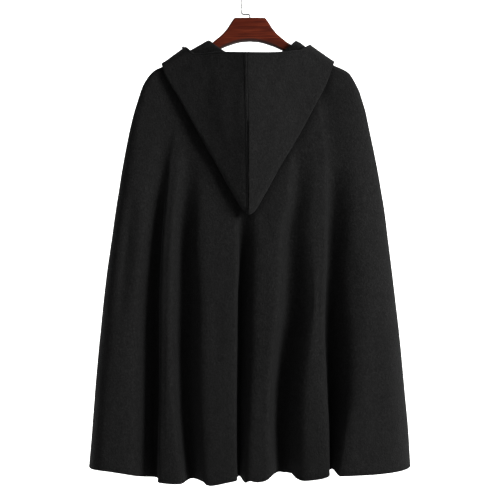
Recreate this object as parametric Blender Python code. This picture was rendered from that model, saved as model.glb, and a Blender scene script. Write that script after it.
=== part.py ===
"""Hooded poncho on a wooden hanger.

Millimetres in the tables, metres in the scene. +Z is up, the garment's back faces -Y,
and the origin is the inside of the hook's crown, where a rail would hold it.
"""

import math
from collections import namedtuple

import bmesh
import bpy
import numpy as np

MM = 0.001
CLOTH = 2.0
SEAM = 0.15
HOOD_SEAM = 0.25


def table(columns, *rows):
    """Rows of numbers whose columns have names."""
    Row = namedtuple("Row", columns)
    return [Row(*row) for row in rows]


def column(rows, name):
    return np.array([getattr(row, name) for row in rows], float)


# Half outline of the cloth at the side seams, from the neck over the shoulder to the hem.
OUTLINE_LEFT = table(
    "out height",
    (0, -75.4), (60, -106.9), (89, -122.2), (120, -138.5), (150, -154.2), (180, -169.4), (203, -179.8),
    (214.5, -190.5), (222.6, -202), (228.8, -213), (234, -227), (238.5, -241), (247.5, -270), (255.9, -304),
    (263, -338.5), (269.4, -372.7), (275.2, -407), (280.3, -441), (285.9, -475.5), (295.3, -544),
    (305, -612), (312.9, -681), (319.3, -749), (324.9, -818), (330.4, -886), (335.8, -955), (341.5, -1024),
    (343, -1045),
)
OUTLINE_RIGHT = table(
    "out height",
    (0, -75.4), (60, -106.9), (102, -129.0), (120, -138.5), (150, -154.2), (180, -169.5), (204, -180.4),
    (213, -187.0), (218, -194), (224.3, -205), (233.6, -223), (239.8, -242), (247.6, -268), (255.1, -304),
    (262.4, -338.5), (269.4, -372.7), (275.8, -407), (281.4, -441), (287.2, -475.5), (295.7, -544),
    (304.1, -612), (312.2, -681), (319.9, -749), (326.6, -818), (332.6, -886), (338.8, -955), (342.8, -1024),
    (344, -1045),
)
OUTLINE_STEP = 3.0
NECK_LEFT, NECK_RIGHT = OUTLINE_LEFT[2].out, OUTLINE_RIGHT[2].out

# Half depth of the body down its length, and how far in from the outline that depth is reached.
BODY_DEPTH = table(
    "height half_depth reach_left reach_right",
    (-1045, 86, 44, 135), (-880, 73, 42, 124), (-740, 62, 40, 112), (-600, 52, 37, 96), (-490, 42, 34, 80),
    (-400, 32, 31, 66), (-320, 23, 26, 48), (-250, 16.5, 19, 27), (-185, 12.5, 11, 12), (-120, 11.5, 9, 9),
)
ROUNDNESS = 2.3

# Heights of each row of cloth at its two ends, and how far it sags between them.
ROWS = table(
    "left right back_sag front_sag",
    (-122.2, -129, 40, 80), (-134, -137, 38, 76), (-146, -148, 34, 70), (-159, -160, 29, 64),
    (-172, -172, 24, 58), (-186, -186, 20, 50), (-204, -204, 16, 42), (-228, -228, 12, 34),
    (-260, -260, 8, 26), (-300, -300, 4, 17), (-350, -350, 0, 9), (-415, -415, 0, 3), (-490, -490, 0, 0),
    (-580, -580, 0, 0), (-690, -690, 0, 0), (-810, -810, 0, 0), (-930, -930, 0, 0), (-1040, -1040, 0, 0),
)

# The hem's height across the back and the front, and where the rows start to follow it.
HEM_BACK = table(
    "place height",
    (-345, -1022.5), (-318, -1020), (-262, -1027), (-232, -1034), (-212, -1041), (-197, -1045), (-185, -1046),
    (-152, -1048), (-112, -1044), (-98, -1044), (-87, -1052), (-44, -1045), (-28, -1042), (-20, -1042),
    (-10, -1046), (0, -1041), (14, -1044), (33, -1041), (48, -1031), (75, -1034), (85, -1031), (95, -1039),
    (106, -1042), (120, -1041),
    (150, -1037), (166, -1031), (175, -1023), (186, -1032), (212, -1031), (270, -1029), (311, -1027),
    (345, -1025),
)
HEM_FRONT = table(
    "place height",
    (-345, -1026), (-300, -1027), (-215, -1032), (-195, -1026), (-150, -1038), (-100, -1031), (-50, -1041),
    (0, -1042), (55, -1040), (105, -1031), (150, -1037), (200, -1027), (225, -1031), (300, -1026),
    (345, -1024),
)
HEM_LEVEL = -1040.0
HEM_FOLLOWED_BELOW = -600.0

# Sections of a valley between folds: places across it in widths where it is deep and where it is
# shallow, and the share of its depth there.
SHARP = table(
    "across shallow depth",
    (-0.30, -0.60, 0.03), (-0.10, -0.46, 0.08), (-0.02, -0.34, 0.24), (0.00, -0.22, 0.54),
    (0.04, -0.06, 0.84),
    (0.20, 0.18, 1.00), (0.44, 0.46, 0.80), (0.76, 0.78, 0.42), (1.08, 1.10, 0.15), (1.42, 1.42, 0.04),
)
SOFT = table(
    "across shallow depth",
    (-0.56, -0.52, 0.03), (-0.43, -0.38, 0.20), (-0.29, -0.24, 0.68), (-0.12, -0.06, 1.00),
    (0.12, 0.14, 0.84),
    (0.40, 0.42, 0.34), (0.66, 0.66, 0.05),
)
DEEP = 28.0
TO_LEFT, TO_RIGHT = -1, 1
VALLEY = "height place width depth"
Valley = namedtuple("Valley", "section way line")
VALLEYS_BACK = (
    Valley(SHARP, TO_LEFT, table(
        VALLEY,
        (-1045, -192, 42, 56), (-876, -191, 45, 52), (-738, -190, 46, 45), (-642, -188.5, 45, 37),
        (-534, -185, 43, 27), (-460, -183, 40, 18), (-375, -179.4, 36, 7), (-289, -176.8, 34, 0),
    )),
    Valley(SOFT, TO_RIGHT, table(
        VALLEY,
        (-1045, -118, 42, 44), (-943, -127, 50, 44), (-876, -131, 53, 43), (-773, -134, 54, 40),
        (-670, -134, 52, 35), (-565, -136, 48, 27), (-460, -133, 47, 15), (-354, -126, 44, 1),
    )),
    Valley(SHARP, TO_RIGHT, table(
        VALLEY,
        (-1045, -26, 15, 56), (-876, -27, 22, 52), (-773, -26.6, 27, 46), (-670, -26, 30, 37),
        (-597, -24, 31, 29), (-503, -22, 32, 14), (-440, -20, 32, 2),
    )),
    Valley(SOFT, TO_RIGHT, table(
        VALLEY,
        (-1045, 72, 60, 56), (-943, 70, 61, 52), (-876, 71, 62, 47), (-808, 76, 62, 42), (-738, 84, 62, 36),
        (-670, 91, 61, 30), (-530, 90, 56, 18), (-460, 100.5, 48, 12), (-347, 107.3, 44, 1),
    )),
    Valley(SHARP, TO_RIGHT, table(
        VALLEY,
        (-1045, 165, 14, 57), (-944, 165, 28, 56), (-876, 162.6, 42, 55), (-808, 160, 50, 51),
        (-738, 157.5, 54, 46), (-670, 158, 54, 40), (-601, 161, 52, 33), (-530, 164, 48, 26),
        (-460, 168, 44, 18), (-375, 173, 40, 4),
    )),
)
VALLEYS_FRONT_LEFT = (
    Valley(SHARP, TO_LEFT, table(
        VALLEY,
        (-1045, -196, 34, 50), (-876, -193, 34, 42), (-738, -189, 34, 34), (-600, -184, 33, 26),
        (-460, -178, 31, 11), (-375, -174, 30, 2),
    )),
    Valley(SOFT, TO_RIGHT, table(
        VALLEY,
        (-1045, -96, 56, 52), (-876, -99, 56, 43), (-738, -96, 54, 34), (-600, -99, 50, 22),
        (-460, -97, 46, 8), (-375, -95, 44, 0),
    )),
)
VALLEYS_FRONT_RIGHT = (
    Valley(SOFT, TO_RIGHT, table(
        VALLEY,
        (-1045, 101, 60, 56), (-876, 96, 58, 46), (-738, 99, 54, 36), (-600, 95, 50, 24), (-460, 92, 46, 9),
        (-375, 90, 44, 0),
    )),
    Valley(SHARP, TO_RIGHT, table(
        VALLEY,
        (-1045, 201, 32, 40), (-876, 195, 34, 34), (-738, 192, 34, 27), (-600, 186, 33, 19),
        (-460, 181, 31, 8), (-375, 178, 30, 1),
    )),
)
FOLDS_END = -375.0

# Columns that round the side, as shares of the half width.
SIDE_COLUMNS = (1.0, 0.9975, 0.99, 0.975, 0.95, 0.91)

# Front slit: half its width where it opens out, that height, and where it closes.
SLIT_HALF, SLIT_OPEN, SLIT_END = 4.0, -204.0, -385.0

# The hood's sections, from the back seam (step 0) over the shoulder (1) to the front edge (2).
HOOD = "step neck_out rim_out rim_height rim_lift fold_out fold_height fold_radius neck_roll"
HOOD_LEFT = table(
    HOOD,
    (0.00, 0.0, 0.0, -149.5, 26.0, 0.0, -491.0, 6.5, 5.0),
    (0.05, 5.0, 6.5, -149.4, 26.0, 12.5, -481.6, 6.5, 5.0),
    (0.18, 17.0, 24.0, -148.6, 26.0, 40.5, -439.3, 6.5, 5.0),
    (0.32, 30.0, 42.0, -147.6, 25.5, 72.0, -382.5, 6.5, 5.0),
    (0.46, 43.0, 59.0, -146.6, 25.0, 104.0, -327.0, 6.5, 5.0),
    (0.60, 56.0, 76.0, -146.5, 23.0, 132.0, -276.0, 6.0, 5.0),
    (0.73, 67.0, 92.0, -147.5, 20.0, 154.0, -236.8, 5.2, 5.0),
    (0.84, 78.0, 108.0, -148.5, 17.0, 171.8, -208.4, 4.2, 4.5),
    (0.93, 85.0, 121.0, -147.0, 15.0, 181.5, -189.0, 3.2, 4.0),
    (1.00, 89.0, 130.5, -141.5, 14.5, 186.5, -172.4, 2.7, 3.6),
    (1.12, 85.0, 124.0, -153.0, 14.0, 181.0, -199.0, 3.4, 4.5),
    (1.30, 78.0, 110.0, -166.0, 13.0, 160.0, -232.0, 4.6, 5.0),
    (1.50, 61.0, 88.0, -184.0, 12.5, 122.0, -254.0, 5.0, 5.0),
    (1.75, 34.0, 52.0, -206.0, 12.0, 66.0, -266.0, 5.0, 5.0),
    (2.00, 4.0, 5.0, -220.0, 12.0, 7.0, -262.0, 5.0, 5.0),
)
HOOD_RIGHT = table(
    HOOD,
    (0.00, 0.0, 0.0, -149.5, 26.0, 0.0, -491.0, 6.5, 5.0),
    (0.05, 5.0, 6.5, -149.5, 26.0, 9.5, -484.5, 6.5, 5.0),
    (0.18, 18.0, 24.0, -149.2, 26.0, 33.0, -446.3, 6.5, 5.0),
    (0.32, 32.0, 42.0, -148.6, 26.0, 66.0, -386.0, 6.5, 5.0),
    (0.46, 47.0, 60.0, -147.4, 26.0, 97.0, -335.0, 6.5, 5.0),
    (0.60, 63.0, 78.0, -145.5, 25.0, 124.0, -286.0, 6.0, 5.5),
    (0.73, 77.0, 92.0, -142.5, 23.5, 144.0, -248.0, 5.2, 6.0),
    (0.84, 89.0, 104.0, -141.5, 21.0, 160.0, -218.0, 4.2, 7.0),
    (0.93, 97.0, 114.0, -141.0, 18.0, 170.5, -191.5, 3.2, 8.0),
    (1.00, 102.0, 122.0, -139.3, 15.8, 178.0, -168.4, 2.8, 9.3),
    (1.12, 98.0, 118.0, -151.0, 15.0, 174.0, -195.0, 3.4, 8.0),
    (1.30, 88.0, 106.0, -164.0, 14.0, 154.0, -230.0, 4.6, 7.0),
    (1.50, 68.0, 86.0, -183.0, 13.0, 118.0, -252.0, 5.0, 6.0),
    (1.75, 36.0, 50.0, -206.0, 12.0, 64.0, -264.0, 5.0, 5.0),
    (2.00, 4.0, 5.0, -220.0, 12.0, 7.0, -260.0, 5.0, 5.0),
)
HOOD_STEPS = (
    0.0, 0.05, 0.13, 0.23, 0.35, 0.48, 0.61, 0.73, 0.82, 0.89, 0.93, 0.96, 0.98, 1.0, 1.02, 1.045, 1.08, 1.14,
    1.24, 1.4, 1.6, 1.8, 2.0,
)
SHOULDER_STEP, FRONT_EDGE_STEP = 1.0, 2.0

# The roll at the neck seam: rise and lift are in shares of the roll, the others in millimetres.
NECK_ROLL = table(
    "rise rise_mm lift lift_mm",
    (0.0, 0.35, 0.0, 0.0), (0.6, 0.0, 0.0, 0.3), (1.0, 0.0, 0.35, 0.0), (0.75, 0.0, 0.75, 1.0),
    (0.0, -3.0, 0.7, 1.5),
)
UNDER_SHARES = (0.1, 0.24, 0.42, 0.6, 0.8, 1.0)
TURN_SHARES = (0.2, 0.4, 0.6, 0.8)
OUTER_SHARES = (1.0, 0.86, 0.7, 0.54, 0.38, 0.24, 0.12, 0.0)
UNDER_LIFT = 2.5
UNDER_FALL = 3.0
FULL_RADIUS = 6.5
PUFF = 3.0
RIM_BEND = 1.1

# The ridge along the hood's back seam, and how far to the left of the middle the seam lies.
RIDGE_SLOPE, RIDGE_REACH, RIDGE_BEND = 0.17, 105.0, 1.2
BACK_ROWS = 10
SEAM_LEAN = table("height left", (-491, 2.5), (-320, 3.0), (-153, 6.0))
LEAN_REACH = 70.0
LEAN_STARTS, LEAN_WHOLE = 5.0, 15.0

# Half outline of the hanger's wood, from the middle of its top round the tip to the arch.
HANGER = table(
    "out height",
    (0, -67.4), (31, -67.6), (34, -69.3), (38.5, -75.3), (42.8, -81.7), (46.6, -88.1), (51.6, -94.5),
    (57, -101), (64.6, -107.8), (72.6, -114.4), (80.3, -120.7), (102, -132.1), (150, -157.3), (180, -173.1),
    (192, -179.8), (198, -184.5), (200.5, -190), (199, -196), (193, -199), (183, -195), (150, -178.5),
    (100, -153), (75, -140), (53.5, -130.2), (42, -126.2), (30.6, -122.4), (18, -119.6), (0, -118.2),
)
HANGER_TOP = HANGER[0].height
HANGER_HALF = 7.0
HANGER_EDGE = 4.6
BORE_RADIUS, BORE_DEPTH, BORE_SIDES = 1.7, 18.0, 20

WIRE_RADIUS = 1.5
HOOK_RADIUS = 17.5
HOOK_END = -38.0
HOOK_STEPS = 26
JOG_HEIGHT, JOG_RADIUS = -60.0, 4.0
JOG_TURNS = (0.0, 22.5, 45.0, 67.5, 90.0)

SMOOTH_BELOW = math.radians(40)


def through(knots, values, at):
    """Smooth curve through the table that never overshoots its own values."""
    order = np.argsort(knots)
    knots, values = knots[order], values[order]
    gaps = np.diff(knots)
    slopes = np.diff(values) / gaps
    tangents = np.concatenate([slopes[:1], np.zeros(len(knots) - 2), slopes[-1:]])
    for i in range(1, len(knots) - 1):
        if slopes[i - 1] * slopes[i] > 0:
            near, far = 2 * gaps[i] + gaps[i - 1], gaps[i] + 2 * gaps[i - 1]
            tangents[i] = (near + far) / (near / slopes[i - 1] + far / slopes[i])
    at = np.clip(np.asarray(at, float), knots[0], knots[-1])
    i = np.clip(np.searchsorted(knots, at) - 1, 0, len(gaps) - 1)
    s = (at - knots[i]) / gaps[i]
    return (
        values[i] * (1 + 2 * s) * (1 - s) ** 2
        + tangents[i] * gaps[i] * s * (1 - s) ** 2
        + values[i + 1] * s * s * (3 - 2 * s)
        + tangents[i + 1] * gaps[i] * s * s * (s - 1)
    )


def read(rows, key, name, at):
    """One column of a table, as a smooth curve over another."""
    return through(column(rows, key), column(rows, name), at)


def dense_outline(rows):
    places, heights = column(rows, "out"), column(rows, "height")
    run = np.concatenate([[0], np.cumsum(np.hypot(np.diff(places), np.diff(heights)))])
    fine = np.linspace(0, run[-1], int(run[-1] / OUTLINE_STEP))
    return np.stack([through(run, places, fine), through(run, heights, fine)], -1)


OUTLINES = {-1: dense_outline(OUTLINE_LEFT), 1: dense_outline(OUTLINE_RIGHT)}


def half_width(side, height):
    line = OUTLINES[side]
    return np.interp(-np.asarray(height, float), -line[:, 1], line[:, 0])


def inside(x, z):
    """Distances in from the outline, and the ways out to it."""
    far, out = np.full(x.shape, np.inf), np.zeros(x.shape + (2,))
    for side, line in OUTLINES.items():
        for start, end in zip(line[:-1], line[1:]):
            step = end - start
            along = (side * x - start[0]) * step[0] + (z - start[1]) * step[1]
            share = np.clip(along / (step @ step), 0, 1)
            away = np.hypot(side * x - start[0] - share * step[0], z - start[1] - share * step[1])
            nearer = (away < far) & (side * x >= 0)
            far[nearer] = away[nearer]
            out[nearer] = np.array([-step[1] * side, step[0]]) / np.hypot(*step)
        far[(side * x >= 0) & (side * x >= half_width(side, z))] = 0
    return far, out


def body(x, z):
    """Half depth of the body at these places, without its folds, and the way out of its back."""
    depth, reach_left, reach_right = (
        read(BODY_DEPTH, "height", name, z) for name in ("half_depth", "reach_left", "reach_right")
    )
    reach = np.where(x < 0, reach_left, reach_right)
    far, out = inside(x, z)
    share = np.minimum(far / reach, 1.0)
    lift = (1 - (1 - share) ** ROUNDNESS) ** (1 / ROUNDNESS)
    tilt = np.arctan(depth / reach * ((1 - share) / np.maximum(lift, MM)) ** (ROUNDNESS - 1))
    way = np.stack([out[..., 0] * np.sin(tilt), -np.cos(tilt), out[..., 1] * np.sin(tilt)], -1)
    return depth * lift, way


def valley_points(valley, height):
    """Places across one valley at this height, with how deep each lies."""
    share = min(1.0, float(half_width(1, height) / half_width(1, FOLDS_END)))
    place, width, depth = (
        float(read(valley.line, "height", name, height)) for name in ("place", "width", "depth")
    )
    deep = min(depth / DEEP, 1.0)
    points = []
    for point in valley.section:
        across = point.shallow + (point.across - point.shallow) * deep
        points.append(((place + valley.way * width * across) * share, depth * point.depth))
    return points[::valley.way]


def flat_run(row, end):
    """Two points that part a flat stretch of the row in three."""
    gap = end - row[-1][0]
    return [(row[-1][0] + gap / 3, 0.0), (end - gap / 3, 0.0)]


def panel_row(valleys, heights, start, end):
    """Places and fold depths across one row, from start to end, where 1 is a side and 0 the middle."""
    left, right = float(half_width(-1, heights.left)), float(half_width(1, heights.right))
    row = [(-left * share, 0.0) for share in SIDE_COLUMNS] if start else [(0.0, 0.0)]
    for valley in valleys:
        points = valley_points(valley, (heights.left + heights.right) / 2)
        row += flat_run(row, points[0][0]) + points
    if end:
        row += flat_run(row, right * SIDE_COLUMNS[-1])
        row += [(right * share, 0.0) for share in SIDE_COLUMNS[::-1]]
    else:
        row += flat_run(row, 0.0) + [(0.0, 0.0)]
    return np.array(row)


def panel(valleys, hem, side, start, end):
    """The outside of one panel, row by row down from the neck. side is -1 for the back, 1 for a front."""
    grid = []
    for row in ROWS:
        x, fold = panel_row(valleys, row, start, end).T
        share = x / np.where(x < 0, half_width(-1, row.left), half_width(1, row.right))
        sag = row.back_sag if side < 0 else row.front_sag
        z = row.left + (row.right - row.left) * (share + 1) / 2 - sag * (1 - share**2)
        middle = (row.left + row.right) / 2
        low = np.clip((HEM_FOLLOWED_BELOW - middle) / (HEM_FOLLOWED_BELOW - HEM_LEVEL), 0, 1) ** 1.5
        z += low * (read(hem, "place", "height", x) - HEM_LEVEL)
        depth, _ = body(x, z)
        grid.append(np.stack([x, side * np.maximum(depth - fold, SEAM), z], -1))
    return np.array(grid)


def unit(vectors):
    return vectors / np.maximum(np.linalg.norm(vectors, axis=-1, keepdims=True), 1e-9)


def cloth_wall(outside, flip, seams):
    """Inside of a cloth wall. seams maps an edge of the grid to the axis its cut lies across."""
    across, down = np.gradient(outside, axis=1), np.gradient(outside, axis=0)
    normals = unit(np.cross(down, across)) * (-1 if flip else 1)
    for edge, axis in seams.items():
        index = {"first": (slice(None), 0), "last": (slice(None), -1), "top": (0,), "bottom": (-1,)}[edge]
        normals[index + (Ellipsis, axis)] = 0
        normals[index] = unit(normals[index])
    return outside - CLOTH * normals


def kept_to(points, axis, limit):
    """Points moved so that none crosses the seam at this limit, on the side that its sign gives."""
    points = points.copy()
    way = np.sign(limit)
    points[..., axis] = way * np.maximum(way * points[..., axis], abs(limit))
    return points


def solid_faces(rows, cols, flip):
    """Faces of a closed wall between an outside grid and an inside grid."""
    def at(r, c, layer):
        return layer * rows * cols + r * cols + c

    faces = []
    for r in range(rows - 1):
        for c in range(cols - 1):
            ring = [(r, c), (r + 1, c), (r + 1, c + 1), (r, c + 1)]
            faces.append([at(*p, 0) for p in ring])
            faces.append([at(*p, 1) for p in reversed(ring)])
    border = (
        [(r, 0) for r in range(rows)]
        + [(rows - 1, c) for c in range(1, cols)]
        + [(r, cols - 1) for r in range(rows - 2, -1, -1)]
        + [(0, c) for c in range(cols - 2, 0, -1)]
    )
    for a, b in zip(border, border[1:] + border[:1]):
        faces.append([at(*a, 0), at(*a, 1), at(*b, 1), at(*b, 0)])
    return [list(reversed(face)) for face in faces] if flip else faces


def add_cloth(name, outside, flip, seams, limits, material):
    """A closed cloth wall from the grid of its outside."""
    inner = cloth_wall(outside, flip, seams)
    for axis, limit in limits:
        inner = kept_to(inner, axis, limit)
    rows, cols = outside.shape[:2]
    points = np.concatenate([outside.reshape(-1, 3), inner.reshape(-1, 3)])
    mesh = bpy.data.meshes.new(name)
    mesh.from_pydata([tuple(point * MM) for point in points], [], solid_faces(rows, cols, flip))
    mesh.materials.append(material)
    mesh.shade_smooth()
    mesh.set_sharp_from_angle(angle=SMOOTH_BELOW)
    obj = bpy.data.objects.new(name, mesh)
    collection.objects.link(obj)
    return obj


def neckline(x, front):
    """Height of the neck seam at this place."""
    neck = ROWS[0]
    share = x / (NECK_LEFT if x < 0 else NECK_RIGHT)
    sag = neck.front_sag if front else neck.back_sag
    return neck.left + (neck.right - neck.left) * (share + 1) / 2 - sag * (1 - share**2)


def hood_section(rows, side, step):
    """Flat places and lifts off the body along one section of the hood, from neck seam to rim."""
    value = {name: float(read(rows, "step", name, step)) for name in HOOD.split()}
    nearby = [min(step + 0.02, FRONT_EDGE_STEP), max(step - 0.02, 0.0)]
    ahead, behind = (
        np.array([float(read(rows, "step", name, near)) for name in ("fold_out", "fold_height")])
        for near in nearby
    )
    fold = np.array([value["fold_out"], value["fold_height"]])
    rim = np.array([value["rim_out"], value["rim_height"]])
    along = unit(ahead - behind)
    out = np.array([-along[1], along[0]])
    if out @ (fold - rim) < 0:
        out = -out
    if step in (0.0, FRONT_EDGE_STEP):
        out = np.array([0.0, -1.0])
    radius, roll = value["fold_radius"], value["neck_roll"]
    centre = fold - out * radius
    front = step > SHOULDER_STEP
    seam = np.array([value["neck_out"], neckline(side * value["neck_out"], front)])
    up = unit(seam - centre)
    path = [
        (seam + up * (roll * turn.rise + turn.rise_mm), roll * turn.lift + turn.lift_mm)
        for turn in NECK_ROLL
    ]
    start, drop = path[-1][0], path[-1][1] - UNDER_LIFT
    for share in UNDER_SHARES:
        path.append((start + (centre - start) * share, UNDER_LIFT + drop * (1 - share) ** UNDER_FALL))
    for share in TURN_SHARES:
        angle = math.pi * share
        path.append((centre + out * radius * math.sin(angle), UNDER_LIFT + radius * (1 - math.cos(angle))))
    low = UNDER_LIFT + 2 * radius
    for share in OUTER_SHARES:
        place = rim + (centre - rim) * share
        puff = PUFF * math.sin(math.pi * share) * (radius / FULL_RADIUS) ** 3
        lift = low + (value["rim_lift"] - low) * (1 - share) ** RIM_BEND + puff
        if not front:
            reach = min(float(read(rows[:BACK_ROWS], "fold_height", "fold_out", place[1])), RIDGE_REACH)
            near_seam = max(1 - abs(place[0]) / max(reach, MM), 0)
            lift += RIDGE_SLOPE * reach * near_seam**RIDGE_BEND
        path.append((place, lift))
    return [(side * place[0], place[1], lift, front) for place, lift in path]


def hood_half(rows, side):
    """The outside of half the hood, one row for each step round the neck."""
    sections = np.array([hood_section(rows, side, step) for step in HOOD_STEPS])
    x, z, lift, front = np.moveaxis(sections, -1, 0)
    depth, way = body(x, z)
    grid = np.stack([x, -depth, z], -1) + way * lift[..., None]
    grid[..., 1] *= np.where(front > 0, -1, 1)
    grid[0, :, 0] = side * HOOD_SEAM
    return grid


def lean_seam(hood):
    """Moves the hood's back seam to the left of the middle, where it lies clear of the body."""
    for vertex in hood.data.vertices:
        x, y, z = vertex.co / MM
        lift = -y - float(read(BODY_DEPTH, "height", "half_depth", z))
        clear = min(max((lift - LEAN_STARTS) / (LEAN_WHOLE - LEAN_STARTS), 0), 1)
        near_seam = max(1 - abs(x) / LEAN_REACH, 0) ** 2
        vertex.co.x -= float(read(SEAM_LEAN, "height", "left", z)) * near_seam * clear * MM


def hanger_outline():
    """The wood as a filled flat curve, standing up, with rounded edges."""
    half = [(point.out, point.height) for point in HANGER]
    ring = half + [(-out, height) for out, height in reversed(half[1:-1])]
    data = bpy.data.curves.new("hanger_outline", "CURVE")
    data.dimensions = "2D"
    data.fill_mode = "BOTH"
    data.extrude = (HANGER_HALF - HANGER_EDGE) * MM
    data.bevel_depth = HANGER_EDGE * MM
    data.offset = -HANGER_EDGE * MM
    data.bevel_resolution = 2
    spline = data.splines.new("POLY")
    spline.points.add(len(ring) - 1)
    for point, (out, height) in zip(spline.points, ring):
        point.co = (out * MM, height * MM, 0, 1)
    spline.use_cyclic_u = True
    obj = bpy.data.objects.new("hanger_outline", data)
    obj.rotation_euler.x = math.radians(90)
    collection.objects.link(obj)
    return obj


def hanger_body(material):
    outline = hanger_outline()
    bpy.context.view_layer.update()
    evaluated = outline.evaluated_get(bpy.context.evaluated_depsgraph_get())
    mesh = bpy.data.meshes.new_from_object(evaluated)
    shape = bmesh.new()
    shape.from_mesh(mesh)
    bmesh.ops.remove_doubles(shape, verts=shape.verts, dist=0.00002)
    bmesh.ops.recalc_face_normals(shape, faces=shape.faces)
    shape.to_mesh(mesh)
    shape.free()
    mesh.materials.clear()
    mesh.materials.append(material)
    mesh.shade_smooth()
    mesh.set_sharp_from_angle(angle=SMOOTH_BELOW)
    wood = bpy.data.objects.new("hanger_body", mesh)
    wood.matrix_world = outline.matrix_world
    collection.objects.link(wood)
    bpy.data.objects.remove(outline)

    above = 2.0
    bpy.ops.mesh.primitive_cylinder_add(
        vertices=BORE_SIDES,
        radius=BORE_RADIUS * MM,
        depth=(BORE_DEPTH + above) * MM,
        location=(0, 0, (HANGER_TOP + (above - BORE_DEPTH) / 2) * MM),
    )
    bore = bpy.context.object
    bore.name = "bore_cutter"
    for owner in list(bore.users_collection):
        owner.objects.unlink(bore)
    cutters.objects.link(bore)
    bore.hide_render = True
    bore.display_type = "WIRE"
    cut = wood.modifiers.new("stem bore", "BOOLEAN")
    cut.operation = "DIFFERENCE"
    cut.object = bore
    cut.solver = "EXACT"
    return wood


def hook_line():
    """Centre line of the wire, from near the bottom of the bore to its end."""
    clear_of_bottom = 1.5
    line = [(0.0, HANGER_TOP - BORE_DEPTH + clear_of_bottom)]
    for turn in JOG_TURNS:
        a = math.radians(turn)
        line.append((-JOG_RADIUS * (1 - math.cos(a)), JOG_HEIGHT - JOG_RADIUS * (1 - math.sin(a))))
    for turn in JOG_TURNS:
        a = math.radians(turn)
        out = JOG_RADIUS * (1 - math.sin(a)) - HOOK_RADIUS
        line.append((out, JOG_HEIGHT + JOG_RADIUS * (1 - math.cos(a))))
    centre = WIRE_RADIUS - HOOK_RADIUS
    for turn in np.linspace(180, HOOK_END, HOOK_STEPS):
        a = math.radians(turn)
        line.append((HOOK_RADIUS * math.cos(a), centre + HOOK_RADIUS * math.sin(a)))
    return line


def hanger_hook(material):
    line = hook_line()
    data = bpy.data.curves.new("hanger_hook", "CURVE")
    data.dimensions = "3D"
    spline = data.splines.new("POLY")
    spline.points.add(len(line) - 1)
    for point, (x, z) in zip(spline.points, line):
        point.co = (x * MM, 0, z * MM, 1)
    data.bevel_depth = WIRE_RADIUS * MM
    data.bevel_resolution = 2
    data.use_fill_caps = True
    data.materials.append(material)
    obj = bpy.data.objects.new("hanger_hook", data)
    collection.objects.link(obj)
    return obj


def add_material(name, colour, roughness, metallic=0.0):
    material = bpy.data.materials.new(name)
    material.use_nodes = True
    shader = material.node_tree.nodes["Principled BSDF"]
    shader.inputs["Base Color"].default_value = (*colour, 1)
    shader.inputs["Roughness"].default_value = roughness
    shader.inputs["Metallic"].default_value = metallic
    return material


def back_panel(material):
    grid = panel(VALLEYS_BACK, HEM_BACK, -1, 1, 1)
    grid[:, (0, -1), 1] = -SEAM
    add_cloth("back_panel", grid, False, {"first": 1, "last": 1}, [(1, -SEAM)], material)


def open_slit(grid, edge, way):
    """Moves a front's middle edge off the centre, where the slit is open."""
    heights = grid[:, edge, 2]
    share = np.clip((heights - SLIT_END) / (SLIT_OPEN - SLIT_END), 0, 1)
    grid[:, edge, 0] = way * (SEAM + share * (SLIT_HALF - SEAM))


def front_panels(material):
    left = panel(VALLEYS_FRONT_LEFT, HEM_FRONT, 1, 1, 0)
    left[:, 0, 1] = SEAM
    open_slit(left, -1, -1)
    add_cloth("front_left", left, True, {"first": 1, "last": 0}, [(0, -SEAM), (1, SEAM)], material)
    right = panel(VALLEYS_FRONT_RIGHT, HEM_FRONT, 1, 0, 1)
    right[:, -1, 1] = SEAM
    open_slit(right, 0, 1)
    add_cloth("front_right", right, True, {"first": 0, "last": 1}, [(0, SEAM), (1, SEAM)], material)


def hood(material):
    for name, rows, side in (("hood_left", HOOD_LEFT, -1), ("hood_right", HOOD_RIGHT, 1)):
        seams = {"top": 0, "bottom": 0}
        half = add_cloth(name, hood_half(rows, side), side < 0, seams, [(0, side * HOOD_SEAM)], material)
        lean_seam(half)


for old in list(bpy.data.objects):
    bpy.data.objects.remove(old)
collection = bpy.data.collections.new("hooded poncho")
cutters = bpy.data.collections.new("cutters")
cutters.hide_render = True
bpy.context.scene.collection.children.link(collection)
bpy.context.scene.collection.children.link(cutters)

cloth = add_material("black wool cloth", (0.013, 0.013, 0.014), 0.95)
mahogany = add_material("mahogany lacquer", (0.11, 0.030, 0.016), 0.28)
steel = add_material("bright steel", (0.62, 0.62, 0.63), 0.25, 1.0)
back_panel(cloth)
front_panels(cloth)
hood(cloth)
hanger_body(mahogany)
hanger_hook(steel)
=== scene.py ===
"""Looks of a hooded poncho on a wooden hanger.

Sizes are in millimetres in the model's own frame: +Z is up, the garment's back faces -Y and
the origin is the inside of the hook's crown. The forms repeat the model's named sizes. Each
piece of cloth is a thin shell on its solid's form, with turned edges, seams and soft creases.
"""

import math
from collections import namedtuple

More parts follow.
